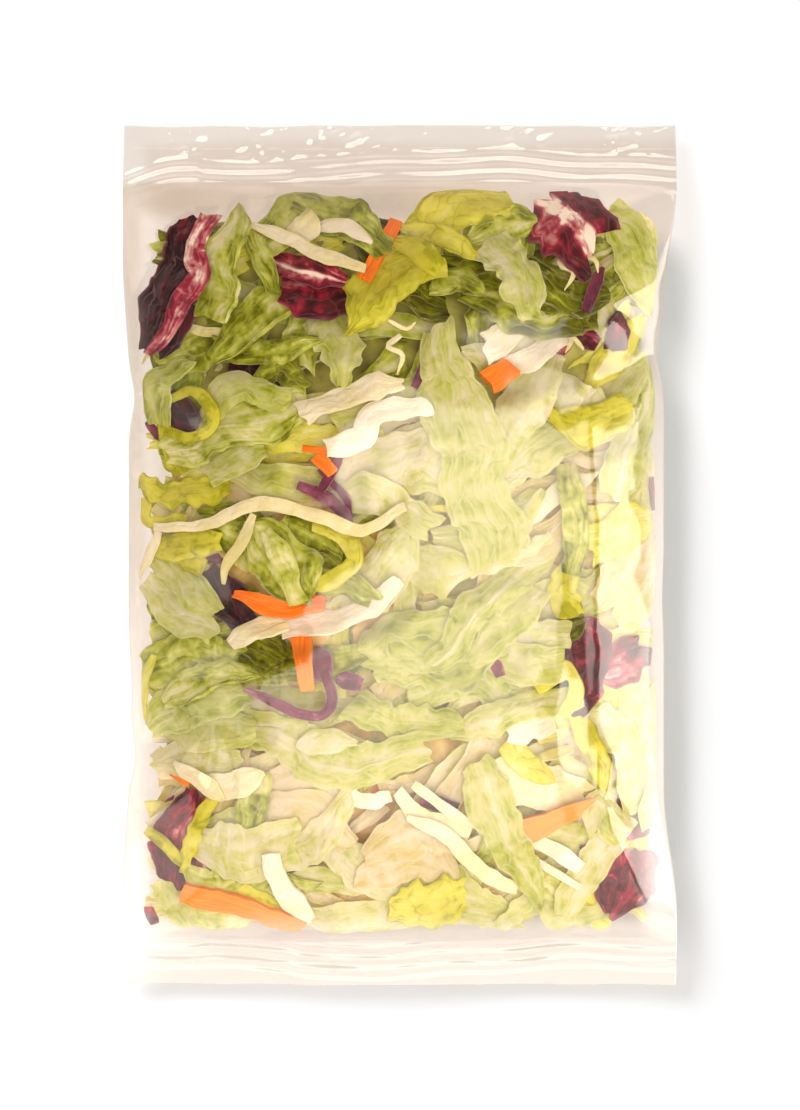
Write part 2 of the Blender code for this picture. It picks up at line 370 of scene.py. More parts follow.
def greenness(x, y):
    """How green the mix is at a place: most at the top and on the left of the middle, least below."""
    upper = 1 / (1 + math.exp(-(y - 62 - 0.25 * x) / 12))
    left = math.exp(-(((x + 45) / 32) ** 2) - (((y + 2) / 24) ** 2))
    return min(upper + 0.8 * left, 1.0)


def read_map(cells, x, y):
    """The map's value at each place, evenly blended between its cells."""
    column = np.clip(x + CELLS_X / 2, 0, CELLS_X - 1.001)
    row = np.clip(y + CELLS_Y / 2, 0, CELLS_Y - 1.001)
    c, r = column.astype(int), row.astype(int)
    part_c, part_r = column - c, row - r
    near = cells[r, c] * (1 - part_c) + cells[r, c + 1] * part_c
    far = cells[r + 1, c] * (1 - part_c) + cells[r + 1, c + 1] * part_c
    return near * (1 - part_r) + far * part_r


def widened(cells, reach):
    """Each cell takes the highest value within reach along its row and its column."""
    for axis in (0, 1):
        cells = np.max([np.roll(cells, shift, axis) for shift in range(-reach, reach + 1)], axis=0)
    return cells


def blurred(cells, spread):
    steps = np.arange(-2 * spread, 2 * spread + 1)
    weights = np.exp(-((steps / spread) ** 2))
    weights /= weights.sum()
    for axis in (0, 1):
        cells = sum(weight * np.roll(cells, step, axis) for weight, step in zip(weights, steps))
    return cells


def ripple(x, y, size, seed):
    """A smooth irregular wave between about -1 and 1 whose humps are about one size apart."""
    waves = random.Random(seed)
    total = np.zeros(np.shape(x))
    for _ in range(5):
        turn, stretch, phase = waves.uniform(0, math.pi), waves.uniform(0.7, 1.5), waves.uniform(0, 7)
        total += np.sin((x * math.cos(turn) + y * math.sin(turn)) * math.pi * stretch / size + phase)
    return total / 3.2


def sheet_grid(columns, rows, made={}):
    """Across and along places, -1 to 1, and the faces of a flat grid with that many columns and rows."""
    if (columns, rows) not in made:
        bpy.ops.mesh.primitive_grid_add(x_subdivisions=columns, y_subdivisions=rows, size=2)
        grid = bpy.context.object
        places = np.empty(len(grid.data.vertices) * 3)
        grid.data.vertices.foreach_get("co", places)
        corners = np.empty(len(grid.data.loops), dtype=int)
        grid.data.loops.foreach_get("vertex_index", corners)
        made[columns, rows] = places.reshape(-1, 3)[:, :2], corners.reshape(-1, 4)
        bpy.data.meshes.remove(grid.data)
    return made[columns, rows]


def smooth_path(points, count=80):
    """Evenly spaced places on a smooth curve through the points, and the curve's length."""
    ends = np.vstack([2 * points[0] - points[1], points, 2 * points[-1] - points[-2]])
    curve = []
    for before, start, end, after in zip(ends, ends[1:], ends[2:], ends[3:]):
        t = np.linspace(0, 1, 24, endpoint=False)[:, None]
        bend = 2 * start + (end - before) * t + (2 * before - 5 * start + 4 * end - after) * t**2
        curve.append((bend + (3 * start - before - 3 * end + after) * t**3) / 2)
    curve = np.vstack([*curve, points[-1:]])
    run = np.concatenate([[0], np.cumsum(np.hypot(*np.diff(curve, axis=0).T))])
    even = np.linspace(0, run[-1], count)
    return np.column_stack([np.interp(even, run, curve[:, i]) for i in (0, 1)]), run[-1]


def inside_film(x, y):
    """Places drawn in where they would pass the side folds or the seals."""
    for side in (-1, 1):
        limit = half_width(side, y) - 2.5
        over = np.maximum(side * x - (limit - 3), 0)
        x = x - side * (over - 3 * (1 - np.exp(-over / 3)))
    for side, limit in ((-1, HALF_LENGTH - BOTTOM_SEAL - 2.5), (1, HALF_LENGTH - TOP_SEAL - 2.5)):
        over = np.maximum(side * y - (limit - 3), 0)
        y = y - side * (over - 3 * (1 - np.exp(-over / 3)))
    return x, y


def zigzag(along, pitch, seed):
    """Straight lines between random values from -1 to 1, one to each pitch along."""
    knots = random.Random(seed)
    values = [knots.uniform(-1, 1) for _ in range(int(along.max() / pitch) + 3)]
    shifted = along / pitch + knots.random()
    return np.interp(shifted, np.arange(len(values)), values)


def lay(kind, path, width, tone=0.5, ends=(0.75, 0.7), rib=0.0, fold=0.0, frill=0.0, crumple=0.6, arch=0.4,
        thick=0.3, rib_thick=1.0, slant=0.0, step=1.2, side="top", tilt=0.25, curl=0.35, pleat=0.3, fade=0.2,
        gap=0.1, longer=0.0, warp=2.0):
    """Lays one cut piece on what is already there. path is its middle line, X and Y in turn, and width its
    full width. ends are its widths at both ends as shares of that, rib is the share that is a thick rib,
    and fold the share that is turned over, from the left where it is below 0. frill, crumple, arch, curl
    and pleat are the heights of its edge waves, of its swells, of its middle over its ends and over its
    sides, and of its long ridges, all less where the heap is packed tight. fade is how much greener its far
    end is than its near end."""
    seed = dice.random()
    points = np.array(path, dtype=float).reshape(-1, 2)
    loose = 0.4 + 0.6 * greenness(*points.mean(axis=0))
    if longer:
        points[0] -= longer * (points[1] - points[0])
        points[-1] += longer * (points[-1] - points[-2])
    line, length = smooth_path(points)
    columns = int(min(max(round(width / step), 4), 30))
    rows = int(min(max(round(length / step), 5), 100))
    grid, faces = sheet_grid(columns, rows)
    u, v = grid[:, 0], (grid[:, 1] + 1) / 2
    blade = width > 6
    left = u < 0

    # The outline: cut at both ends, with straight and slightly torn sides.
    half = width / 2 * np.interp(v, (0, 0.28, 0.72, 1), (ends[0], 0.97, 0.97, ends[1]))
    sway = np.where(left, zigzag(v * length, 9.0, seed), zigzag(v * length, 9.0, seed + 1))
    torn = np.where(left, zigzag(v * length, 2.0, seed + 2), zigzag(v * length, 2.0, seed + 3))
    half = half * (1 + (0.12 * sway + 0.08 * torn) * min(width / 8, 1.0))
    arc = u * np.maximum(half, 0.25)
    end_cut = zigzag((u + 1) * width / 2, 4.0, seed + 4) * 0.10 * width * (2 * abs(v - 0.5)) ** 3
    along = v * length + slant * arc + end_cut * blade

    lateral, raised = arc.copy(), np.zeros(len(u))
    if fold:
        turn, radius = math.copysign(1, fold), 0.9
        hinge = half * (1 - 2 * abs(fold))
        past = np.maximum(turn * arc - hinge, 0)
        angle = np.minimum(past / radius, math.pi)
        rest = np.maximum(past - math.pi * radius, 0)
        lateral = np.where(past > 0, turn * (hinge + radius * np.sin(angle) - rest), arc)
        raised = np.where(past > 0, radius * (1 - np.cos(angle)), 0)
    edge = np.sign(u) * 3.1
    wave = 2 * math.pi * v * length / 6.5 + ripple(v * length, edge, 14.0, seed + 3) * 2 + edge * 2
    free = abs(u) ** 3
    lateral = lateral + frill * 0.45 * free * np.sin(wave + 1.2)

    centre_at = np.clip(along, 0, length) / length * (len(line) - 1)
    index = np.clip(centre_at.astype(int), 0, len(line) - 2)
    part = (centre_at - index)[:, None]
    tangent = np.gradient(line, axis=0)
    tangent /= np.hypot(*tangent.T)[:, None]
    ahead = tangent[index] * (1 - part) + tangent[index + 1] * part
    centre = line[index] * (1 - part) + line[index + 1] * part
    centre = centre + ahead * (along - np.clip(along, 0, length))[:, None]
    x = centre[:, 0] + ahead[:, 1] * lateral
    y = centre[:, 1] - ahead[:, 0] * lateral
    warp = warp * min(width / 12, 1.0)
    push_x = ripple(x, y, 15.0, seed + 9) + 0.3 * ripple(x, y, 4.5, seed + 10)
    push_y = ripple(x, y, 15.0, seed + 11) + 0.3 * ripple(x, y, 4.5, seed + 12)
    x, y = inside_film(x + warp * push_x, y + warp * push_y)

    # The relief, as depth under the film.
    rib_mask = smooth_step(1.5 - abs(u) / rib) if rib else np.zeros(len(u))
    soft = (1 - rib_mask) * blade
    swell = ripple(x, y, 13.0, seed + 5) + 0.6 * ripple(x, y, 5.0, seed + 6)
    ridge = np.cos(2 * math.pi * (u * width / 2 / 5.2 + 0.3 * ripple(v * length, u, 18.0, seed + 7)))
    deep = crumple * swell * (1 - 0.6 * rib_mask) + pleat * ridge * soft * (1 - free)
    deep = deep + 0.8 * frill * free * np.sin(wave)
    deep = deep + tilt * dice.uniform(-1, 1) * u * min(width / 8, 2.0) + curl * abs(u) ** 2.5 * min(width / 10, 1.6)
    deep = loose * (deep + arch * (2 * v - 1) ** 4) + 0.6 * soft * (rib > 0) - raised
    deep = deep - deep.min()
    thickness = thick + rib_thick * rib_mask
    under = read_map(blurred(widened(taken[side], 3), 3), x, y)
    shade = tone + fade * (v - 0.5) + 0.10 * ripple(x, y, 11.0, seed + 8) + 0.10 * free
    shade = shade * (1 - rib_mask) + 0.03 * rib_mask
    deep = deep + under
    cells = (y + CELLS_Y / 2 + 0.5).astype(int), (x + CELLS_X / 2 + 0.5).astype(int)
    footprint = np.zeros((CELLS_Y, CELLS_X))
    np.maximum.at(footprint, cells, deep + thickness + gap)
    taken[side] = np.maximum(taken[side], widened(footprint, 1))
    room = read_map(HALF_ROOM, x, y)
    squeezed = room * (1 - np.exp(-deep / room))
    if side == "top":
        z = read_map(CREST_MAP, x, y) - CLEARANCE - squeezed
    else:
        z = read_map(BELLY_MAP, x, y) + CLEARANCE + squeezed
        faces = faces[:, ::-1]
    flat = np.column_stack([u * width / 2, v * length + len(KINDS.get(kind, [])) * 37.0])
    looks = np.column_stack([abs(u), v, np.clip(shade, 0, 1), 1 - rib_mask])
    KINDS.setdefault(kind, []).append((np.column_stack([x, y, z]) * MM, faces, flat, looks, thickness * MM))


def join_kind(kind, material):
    """All pieces of one kind as one mesh, with each sheet given its thickness away from the film."""
    pieces = KINDS[kind]
    starts = np.cumsum([0] + [len(piece[0]) for piece in pieces])
    places = np.vstack([piece[0] for piece in pieces])
    faces = np.vstack([piece[1] + start for piece, start in zip(pieces, starts)])
    flat, looks = np.vstack([piece[2] for piece in pieces]), np.vstack([piece[3] for piece in pieces])
    thickness = np.concatenate([piece[4] for piece in pieces])
    mesh = bpy.data.meshes.new(kind)
    mesh.from_pydata(places.tolist(), [], faces.tolist())
    corners = np.empty(len(mesh.loops), dtype=int)
    mesh.loops.foreach_get("vertex_index", corners)
    mesh.uv_layers.new(name="leaf_mm").data.foreach_set("uv", flat[corners].ravel())
    mesh.attributes.new("leaf", "FLOAT_COLOR", "POINT").data.foreach_set("color", looks.ravel())
    mesh.materials.append(material)
    piece = bpy.data.objects.new(kind, mesh)
    bpy.context.scene.collection.objects.link(piece)
    group = piece.vertex_groups.new(name="thickness")
    most = thickness.max()
    levels = np.round(thickness / most * 20).astype(int)
    for level in np.unique(levels):
        group.add(np.nonzero(levels == level)[0].tolist(), level / 20, "REPLACE")
    bpy.context.view_layer.objects.active = piece
    wall = piece.modifiers.new("wall", "SOLIDIFY")
    wall.thickness = most
    wall.offset = -1.0
    wall.vertex_group = group.name
    bpy.ops.object.modifier_apply(modifier=wall.name)
    piece.data.shade_smooth()
    piece.data.set_sharp_from_angle(angle=math.radians(65))
    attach(piece, "root")
    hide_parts("salad_bag")
    return piece


# The pieces that show, the ones on top first. Places are in millimetres from the middle of the bag.
BLUNT, TIP, ROUND, CUT = (0.75, 0.75), (0.7, 0.05), (0.25, 0.25), (0.95, 0.9)


def green(*path, width, **looks):
    lay("green_lettuce", path, width, **{"longer": 0.25, **looks})


def pale(*path, width, strips=0, tone=0.5, **looks):
    """Iceberg comes off the blade in bundles, so a wide piece low in the bag is two strips side by side."""
    strips = strips or (2 if width > 15 and path[1] < 40 else 1)
    line = np.reshape(path, (-1, 2)).astype(float)
    ahead = (line[-1] - line[0]) / np.hypot(*(line[-1] - line[0]))
    for strip in dice.sample(range(strips), strips):
        shift = (strip - (strips - 1) / 2) * width / strips
        turn, slide = dice.uniform(-2.0, 2.0) * (strips > 1), dice.uniform(-5, 5) * (strips > 1)
        spread = (shift + turn * np.linspace(-1, 1, len(line)))[:, None] * (ahead[1], -ahead[0])
        kind = dice.choice(("pale_lettuce", "pale_lettuce", "iceberg_shreds")) if strips > 1 else "pale_lettuce"
        lay(kind, (line + spread + slide * ahead).ravel(), width / strips * (1.45 if strips > 1 else 1.0),
            tone=tone + dice.uniform(-0.15, 0.15) * (strips > 1), **{"longer": 0.25, **looks})


def heart(*path, width, **looks):
    lay("heart_lettuce", path, width, **{"longer": 0.12, **looks})


def white(*path, width, **looks):
    lay("white_shreds", path, width, **{"thick": 0.8, "crumple": 0.4, **looks})


def radicchio(*path, width, **looks):
    lay("radicchio", path, width, **looks)


def cabbage(*path, width, **looks):
    lay("red_cabbage", path, width, **{"thick": 0.9, "crumple": 0.3, "ends": TIP, **looks})


def carrot(*path, width, **looks):
    lay("carrot_sticks", path, width, **{"thick": 2.6, "crumple": 0.15, "ends": CUT, "arch": 0.2, **looks})


# Upper left corner.
radicchio(-61, 110, -66, 99, -64, 90, -71, 79, -82, 66, width=8, tone=0.28, ends=(0.8, 0.3), crumple=0.9)
white(-68, 84, -75, 74, -84, 62, width=2.6, tone=0.7, ends=TIP)
green(-53, 109, -55, 96, -60, 79, width=15, tone=0.3, ends=(0.1, 0.8), fold=-0.22, crumple=0.9)
radicchio(-69, 82, -73, 73, -78, 63, width=9, tone=0.95, ends=TIP)
radicchio(-66, 109, -71, 90, -83, 67, width=20, tone=1.0, ends=(0.4, 0.2), crumple=0.7)
green(-46, 100, -43, 88, width=12, tone=0.45, fold=0.25)
white(-49, 107, -36, 102, -25, 96, -11, 91, width=4.6, tone=0.35, ends=(0.4, 0.6))
white(-36, 100, -30, 105, -27, 110, width=9, tone=0.4, ends=(0.5, 0.5), slant=0.2)
white(-27, 105, -17, 105, -9, 100, width=5, tone=0.1, ends=(0.6, 0.3))
green(-39, 104, -27, 112, -8, 101, width=15, tone=0.42, crumple=0.9)
carrot(-2, 108, -6, 99, -11, 89, width=4.2, tone=0.35, thick=1.6)
radicchio(-45, 99, -34, 92, -17, 87, width=9, tone=0.42, ends=(0.2, 0.5), rib=0.12)
heart(-3, 101, 4, 98, 11, 92, width=8, tone=0.75, ends=(0.5, 0.6), crumple=0.6, fold=0.2)
heart(10, 96, -2, 90, -16, 73, width=19, tone=0.62, ends=(0.8, 0.1), crumple=0.6, frill=0.6)
radicchio(-37, 87, -27, 84, -17, 84, width=15, tone=0.6, ends=BLUNT, crumple=0.6)

# Top middle and upper right.
heart(2, 106, 13, 102, 24, 97, width=8, tone=0.35, fold=0.3, ends=ROUND)
heart(1, 99, 14, 111, 33, 116, width=18, tone=0.5, ends=(0.4, 0.6), crumple=1.3, frill=1.0, fold=-0.15)
pale(30, 100, 37, 91, 42, 79, width=15, tone=0.35, ends=(0.8, 0.35), frill=1.8, crumple=1.0)
green(24, 103, 34, 107, 42, 108, width=14, tone=0.35, ends=ROUND, crumple=0.8)
radicchio(46, 116, 55, 107, 63, 98, width=24, tone=0.56, rib=0.34, ends=CUT, crumple=0.7, slant=0.2)
pale(66, 108, 75, 101, 81, 82, width=16, tone=0.55, ends=(0.6, 0.2), crumple=0.8, fold=0.12)
green(78, 109, 81, 100, width=6, tone=0.25, ends=ROUND)
pale(71, 113, 76, 106, width=6, tone=0.3)
lay("curly_endive", (57, 98, 51, 94, 56, 91, 53, 85), 1.7, thick=1.2, ends=(0.6, 0.2), crumple=0.4)
lay("curly_endive", (58, 96, 63, 95, 64, 91), 1.5, thick=1.2, ends=(0.6, 0.2), crumple=0.4)
cabbage(66, 93, 63, 86, 60, 79, width=4.5, tone=0.6, ends=(0.3, 0.8))
green(10, 84, 17, 88, 25, 85, width=10, tone=0.5, ends=ROUND)
heart(22, 100, 30, 96, 36, 98, width=7, tone=0.6)
green(12, 96, 24, 95, 34, 100, width=10, tone=0.85)
green(42, 90, 52, 84, 64, 84, width=12, tone=0.75)
green(28, 84, 44, 76, 60, 80, width=16, tone=0.7, rib=0.1)

# Left side, from the pucker down.
green(-33, 83, -44, 77, -56, 67, width=14, tone=0.42, fold=-0.2, ends=(0.5, 0.3))
green(-29, 68, -42, 63, -57, 68, width=9, tone=0.55, ends=ROUND)
white(-70, 74, -63, 72, -54, 72, width=3.4, tone=0.6)
pale(-71, 61, -79, 54, -78, 44, width=11, tone=0.6, ends=(0.5, 0.7), crumple=0.5)
heart(-74, 50, -67, 53, -61, 48, -60, 41, -66, 38, -75, 40, width=4.2, tone=0.8, ends=(0.5, 0.6), crumple=0.5)
radicchio(-74, 52, -66, 41, width=10, tone=0.85, ends=(0.4, 0.7))
pale(-62, 45, -51, 53, -39, 50, width=11, tone=0.5, ends=(0.3, 0.8), crumple=0.5, slant=-0.3)
green(-47, 56, -38, 59, -30, 54, width=8, tone=0.6, ends=ROUND)
pale(-26, 77, -20, 68, -18, 56, width=15, tone=0.4, ends=(0.8, 0.3), frill=1.8, crumple=1.0)
white(-31, 44, -23, 48, -11, 52, 3, 54, width=10, tone=0.25, ends=(0.95, 0.3), thick=1.3)
white(-24, 34, -14, 37, -7, 46, 10, 46, width=8.5, tone=0.0, ends=(0.6, 0.7))
green(-72, 34, -54, 41, -33, 47, width=17, tone=0.3, rib=0.12, ends=(0.4, 0.6))
heart(-76, 42, -71, 29, width=7, tone=0.8, frill=0.8)
pale(-58, 27, -46, 33, width=10, tone=0.45)
carrot(-31, 34, -22, 33, width=2.2, tone=0.4, thick=1.2)
carrot(-26, 32, -21, 27, width=4.5, tone=0.5, thick=1.5)
carrot(-17, 39, -9, 37, width=2.2, tone=0.5, thick=1.2)
cabbage(-50, 34, -44, 30, width=4, tone=0.5)
cabbage(-19, 32, -21, 28, -25, 21, width=3.6, tone=0.5, ends=BLUNT)
cabbage(-82, 43, -77, 37, width=3, tone=0.6)
green(-75, 62, -60, 69, -47, 66, width=14, tone=0.6)
radicchio(-56, 61, -45, 57, width=10, tone=0.95)

# Curly threads in the middle of the top.
lay("curly_endive", (0, 70, -4, 66, 1, 63, -1, 57), 1.6, thick=1.2, ends=(0.7, 0.2), crumple=0.4)
lay("curly_endive", (-4, 75, 2, 72, 5, 74), 1.3, thick=1.0, ends=(0.7, 0.2), crumple=0.4)
lay("curly_endive", (53, 75, 55, 69, 53, 65), 1.6, thick=1.2, ends=(0.7, 0.2), crumple=0.4)
lay("curly_endive", (55, 71, 59, 66), 1.3, thick=1.2, ends=(0.7, 0.2), crumple=0.4)

# Right of the middle, upper half.
pale(11, 72, 17, 50, 24, 25, 31, -1, width=23, tone=0.4, ends=(0.45, 0.8), crumple=0.6, step=1.0, longer=0.0)
white(25, 67, 36, 71, 48, 78, 62, 81, width=11, tone=0.2, ends=(0.95, 0.3), thick=1.3)
carrot(27, 54, 36, 60, width=8, tone=0.6)
white(33, 62, 43, 63, 50, 69, 55, 73, width=7.5, tone=0.0, ends=(0.5, 0.6))
radicchio(49, 69, 54, 66, width=6, tone=0.2)
radicchio(55, 73, 63, 68, width=6, tone=0.5)
cabbage(10, 65, 8, 60, 5, 53, width=4.6, tone=0.6, ends=(0.15, 0.9))
radicchio(72, 78, 70, 71, 66, 66, width=9, tone=0.75, ends=(0.7, 0.3))
pale(22, 65, 35, 63, 46, 73, width=11, tone=0.2, ends=ROUND, rib=0.12)
carrot(24, 63, 31, 62, width=2.5, tone=0.6, thick=1.2)
pale(47, 61, 39, 47, 32, 33, width=12, tone=0.25, ends=(0.7, 0.7), rib=0.15)
heart(49, 46, 60, 41, 71, 46, width=14, tone=0.7, ends=(0.3, 0.8))
pale(42, 58, 56, 48, 72, 46, width=13, tone=0.15, ends=(0.5, 0.3))
heart(61, 54, 70, 66, 78, 75, width=11, tone=0.5, ends=ROUND)
pale(64, 47, 72, 54, 80, 64, width=12, tone=0.35, ends=ROUND, strips=1)
pale(33, 30, 48, 41, 64, 50, width=20, tone=0.2, ends=(0.4, 0.6))
green(50, 36, 58, 45, 74, 48, width=14, tone=0.45)
pale(70, 22, 76, 40, 82, 58, width=15, tone=0.55, rib=0.12)
green(54, 26, 56, 12, 54, -2, width=9, tone=0.4)
heart(60, 2, 70, 8, 80, 10, width=17, tone=0.25)
radicchio(82, 26, 83, 14, width=4, tone=0.7)

# The middle of the bag.
white(-79, 9, -62, 10, -45, 16, -27, 13, -12, 8, 2, 15, width=4.4, tone=0.4, ends=(0.5, 0.6))
white(-47, 13, -51, 3, -55, -3, -56, -9, width=3.6, tone=0.6, ends=(0.6, 0.3))
white(-78, 8, -81, 0, -85, -8, width=3, tone=0.3, ends=(0.6, 0.3))
heart(-84, 24, -73, 20, -57, 22, width=10, tone=0.75, frill=1.6, crumple=1.0, fold=-0.2)
heart(-82, 18, -81, 11, -70, 12, width=4, tone=0.75, frill=0.6)
cabbage(-32, 22, -22, 17, -14, 9, width=4, tone=0.6)
cabbage(-26, 27, -18, 19, -15, 12, width=2.4, tone=0.6)
pale(-20, 19, -6, 18, 8, 10, width=14, tone=0.25, ends=(0.3, 0.7))
pale(-18, 24, 6, 29, 30, 25, strips=1, width=20, tone=0.15, rib=0.2, ends=(0.4, 0.7))
pale(-52, 27, -38, 24, -24, 22, width=11, tone=0.35, ends=(0.4, 0.3))
heart(-80, 1, -70, 3, -57, 4, width=9, tone=0.7, crumple=0.9, ends=(0.3, 0.6))
heart(-69, 3, -64, -6, width=10, tone=0.75, ends=(0.6, 0.1))
pale(-80, -5, -72, -13, -61, -20, width=18, tone=0.25, ends=(0.7, 0.5), crumple=0.6)
green(-42, 6, -37, -4, -33, -13, width=7, tone=0.15, ends=(0.5, 0.8), crumple=0.3)
green(-48, 6, -38, -1, -30, -13, width=18, tone=0.4, crumple=0.9, ends=ROUND)
heart(-26, 9, -18, 7, -14, -1, -22, -8, -29, -10, width=6, tone=0.45, crumple=0.6)
green(-38, 8, -28, 4, -19, 0, width=15, tone=0.6, crumple=1.1, frill=1.0)
green(-61, 8, -47, 6, -40, 0, width=15, tone=0.65, crumple=0.6)
green(-25, -5, -13, -12, width=12, tone=0.4, crumple=1.0)
carrot(-53, -13, -38, -16, -23, -15, width=6.4, tone=0.4, ends=(0.4, 0.6), thick=2.2)
white(-54, -28, -46, -23, -36, -20, width=8.5, tone=0.3, ends=(0.6, 0.9), thick=1.2)
white(-38, -24, -22, -21, -8, -16, 1, -8, width=8, tone=0.05, ends=(0.9, 0.5))
radicchio(-63, -4, -55, -13, -50, -22, width=11, tone=0.95)
pale(-16, -16, -4, -4, 4, 8, strips=1, width=16, tone=0.2, ends=(0.5, 0.3), crumple=0.8)
pale(-3, -1, 8, -5, 20, -4, width=12, tone=0.3, ends=ROUND, crumple=0.9)
heart(4, 14, 12, 15, 19, 14, width=2.4, tone=0.4)
pale(25, -4, 35, -1, 45, 5, width=5, tone=0.1, frill=1.4, crumple=0.8)
pale(18, 5, 34, 5, 46, 13, width=17, tone=0.35, ends=(0.3, 0.6), rib=0.1)
pale(48, 3, 30, -13, 13, -30, width=12, tone=0.5, ends=(0.3, 0.5), rib=0.12)
pale(42, -12, 34, -22, 24, -32, width=12, tone=0.45, ends=(0.7, 0.5))
heart(54, -2, 53, -10, 54, -19, width=12, tone=0.6, ends=(0.6, 0.7))
pale(84, 0, 74, -8, 66, -17, width=20, tone=0.2, ends=(0.5, 0.6))
pale(80, 30, 78, 12, 74, 0, width=14, tone=0.3, ends=ROUND)

# Below the middle.
carrot(-32, -26, -31, -34, -30, -42, width=5.6, tone=0.6, thick=2.0)
cabbage(-50, -43, -36, -49, -25, -51, -21, -45, -24, -37, width=3.6, tone=0.5, ends=(0.3, 0.9))
cabbage(-23, -41, -24, -35, -27, -30, width=8, tone=0.4, ends=(0.6, 0.3))
cabbage(-20, -39, -12, -42, width=6, tone=0.4, ends=(0.4, 0.7))
heart(-80, -33, -83, -42, -83, -52, width=4, tone=0.4, ends=(0.5, 0.2))
pale(-8, -32, 10, -30, 29, -29, strips=1, width=27, tone=0.6, frill=1.2, crumple=0.6, ends=(0.5, 0.3), step=1.2)
green(-73, -45, -62, -40, -48, -38, width=13, tone=0.3, ends=ROUND, fold=0.2)
pale(-79, -55, -68, -48, -54, -45, width=14, tone=0.65, ends=(0.3, 0.7), crumple=0.6)
white(-72, -66, -66, -72, -57, -79, width=6, tone=0.35, ends=ROUND)
white(-60, -71, -52, -73, -43, -69, width=10, tone=0.3, ends=ROUND, thick=1.3)
pale(-73, -62, -61, -60, -49, -59, width=18, tone=0.3, ends=(0.3, 0.6))
pale(-29, -60, -18, -60, width=7.5, tone=0.1, ends=ROUND, strips=1)
pale(-58, -49, -42, -56, -20, -67, 2, -62, strips=1, width=17, tone=0.4, ends=(0.2, 0.6), rib=0.12, step=1.2)
pale(-12, -48, 0, -54, 16, -52, width=12, tone=0.55, frill=0.8)
green(-80, -37, -68, -32, -52, -33, width=16, tone=0.45, fold=-0.15)
green(-62, -29, -50, -28, -38, -32, width=15, tone=0.7)
pale(-71, -21, -64, -28, width=12, tone=0.7)
radicchio(-73, -37, -70, -43, width=6, tone=1.0)
radicchio(29, -31, 32, -38, width=4.5, tone=0.45)
pale(31, -30, 46, -30, width=19, tone=0.3, ends=(0.4, 0.8))
heart(44, -42, 52, -37, 56, -42, 53, -50, width=6, tone=0.55, crumple=0.7)
pale(20, -57, 34, -50, 53, -47, width=11, tone=0.4, ends=(0.2, 0.5), rib=0.12)
white(34, -57, 42, -54, 50, -53, width=9.5, tone=0.0, ends=(0.5, 0.7), thick=1.4)
white(44, -59, 54, -56, width=3, tone=0.75)
white(45, -65, 55, -62, width=3, tone=0.75)
green(48, -28, 56, -22, width=8, tone=0.85, ends=ROUND)
radicchio(60, -20, 59, -34, 56, -52, width=17, tone=0.72, ends=(0.5, 0.2), crumple=0.9)
radicchio(61, -37, 70, -36, 79, -29, width=15, tone=0.42, frill=1.6, ends=(0.6, 0.7))
heart(56, -51, 62, -61, 65, -75, width=8, tone=0.65, ends=ROUND)
pale(60, -52, 70, -58, 74, -66, width=13, tone=0.2, ends=(0.4, 0.7))
heart(34, -60, 41, -66, 49, -71, width=9, tone=0.35, ends=(0.8, 0.2))
pale(78, -42, 82, -60, 79, -80, width=17, tone=0.3, ends=(0.4, 0.5), rib=0.12)
pale(8, -44, 20, -40, 34, -44, width=14, tone=0.5)

# The lower end.
pale(24, -70, 31, -84, 42, -107, strips=1, width=16, tone=0.5, ends=(0.55, 0.1), crumple=0.4, rib=0.08)
white(-41, -96, -39, -106, -29, -118, width=7.5, tone=0.0, ends=(0.9, 0.3), thick=1.3)
carrot(-71, -109, -52, -114, -30, -121, width=7.6, tone=0.75, ends=(0.85, 0.8))
heart(-60, -76, -65, -88, -70, -102, width=5, tone=0.6, frill=0.8, ends=(0.8, 0.3))
heart(-81, -89, -76, -93, -70, -101, width=4, tone=0.8, ends=(0.8, 0.2))
carrot(37, -91, 48, -85, 63, -78, width=7, tone=0.85, ends=(0.9, 0.2))
white(38, -90, 48, -94, 58, -100, width=4.8, tone=0.05, ends=(0.7, 0.8))
white(38, -95, 48, -101, 58, -107, width=2.6, tone=0.1)
white(3, -84, 14, -90, 27, -101, 38, -108, width=6.5, tone=0.35, ends=(0.4, 0.6))
white(4, -73, 14, -80, 25, -88, width=3.8, tone=0.25, ends=TIP)
white(-1, -75, 7, -84, 23, -88, width=5.2, tone=0.35)
radicchio(7, -78, 19, -81, width=5, tone=0.7)
pale(60, -86, 66, -82, 72, -88, width=13, tone=0.3, ends=(0.7, 0.8))
pale(66, -93, 59, -103, 55, -114, width=11, tone=0.15, ends=(0.8, 0.6))
radicchio(72, -94, 74, -104, 68, -115, width=20, tone=0.58, ends=(0.4, 0.4), crumple=1.0)
radicchio(66, -103, 68, -116, width=8, tone=0.5, ends=(0.9, 0.2))
radicchio(76, -99, 84, -101, width=9, tone=0.45, ends=(0.8, 0.6))
radicchio(74, -75, 75, -83, 78, -92, width=9, tone=0.5)
radicchio(60, -93, 61, -99, width=4, tone=0.7)
pale(-64, -93, -50, -96, -36, -92, width=15, tone=0.2, ends=(0.5, 0.8), strips=1)
green(-68, -100, -60, -107, -49, -103, width=9, tone=0.35, ends=ROUND)
pale(-43, -99, -29, -92, -17, -80, width=12, tone=0.1, ends=(0.5, 0.6))
heart(-2, -113, 8, -112, 20, -110, width=15, tone=0.55, frill=1.6, crumple=0.8, ends=(0.5, 0.6))
pale(-10, -98, 5, -93, 17, -98, width=19, tone=0.35, ends=(0.5, 0.3), rib=0.1)
green(37, -99, 46, -106, 53, -113, width=10, tone=0.25, ends=(0.8, 0.1), rib=0.15)
pale(34, -119, 44, -111, 53, -119, 68, -114, width=6.5, tone=0.45, frill=1.2, crumple=0.8)
pale(15, -106, 24, -112, 36, -117, width=15, tone=0.4, frill=1.4)
